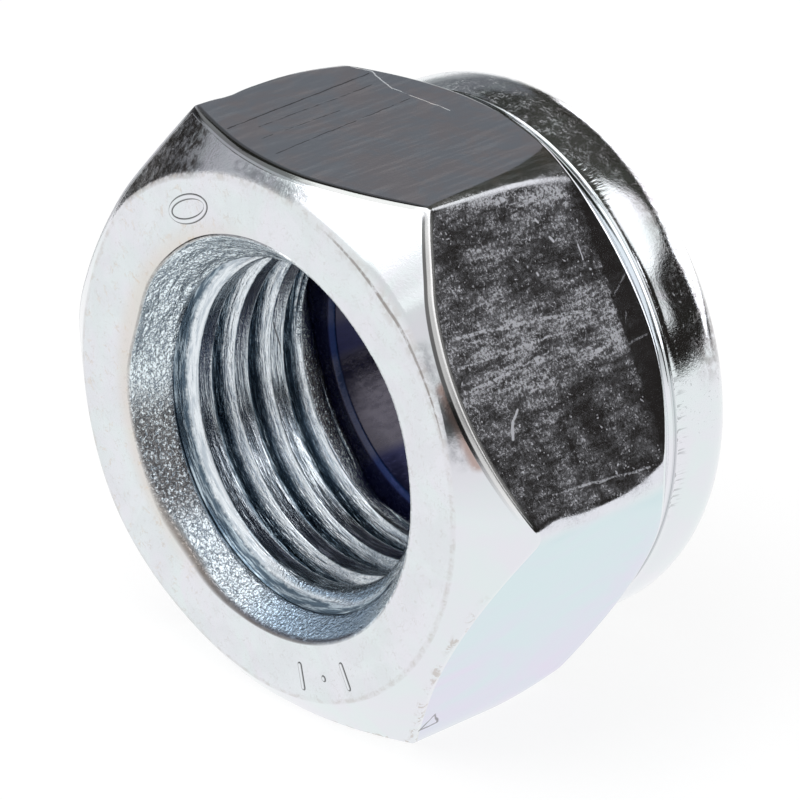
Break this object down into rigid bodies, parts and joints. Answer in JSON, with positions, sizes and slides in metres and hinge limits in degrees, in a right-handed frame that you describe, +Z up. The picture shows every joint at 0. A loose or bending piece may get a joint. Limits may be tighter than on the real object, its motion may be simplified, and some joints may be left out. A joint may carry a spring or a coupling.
{
  "type": "nylon insert lock nut",
  "caption": "Low hexagon lock nut with a chamfered bearing face, a threaded bore and a domed collar crimped over a dark nylon ring.",
  "frame": {"origin": "under the middle of the nut, on the surface that one of its six flats rests on", "axes": "+Y along the thread axis, from the bearing face towards the collar; +Z up, square to the flat it rests on; corners of the hexagon point along +X and -X"},
  "size_m": [0.0344, 0.02, 0.03],
  "materials": {
    "zinc_steel": "bright zinc plate, clear blue passivated",
    "nylon": "dark blue nylon, satin"
  },
  "bodies": {
    "root": {"nut_body": "zinc_steel", "nylon_ring": "nylon"}
  },
  "joints": []
}
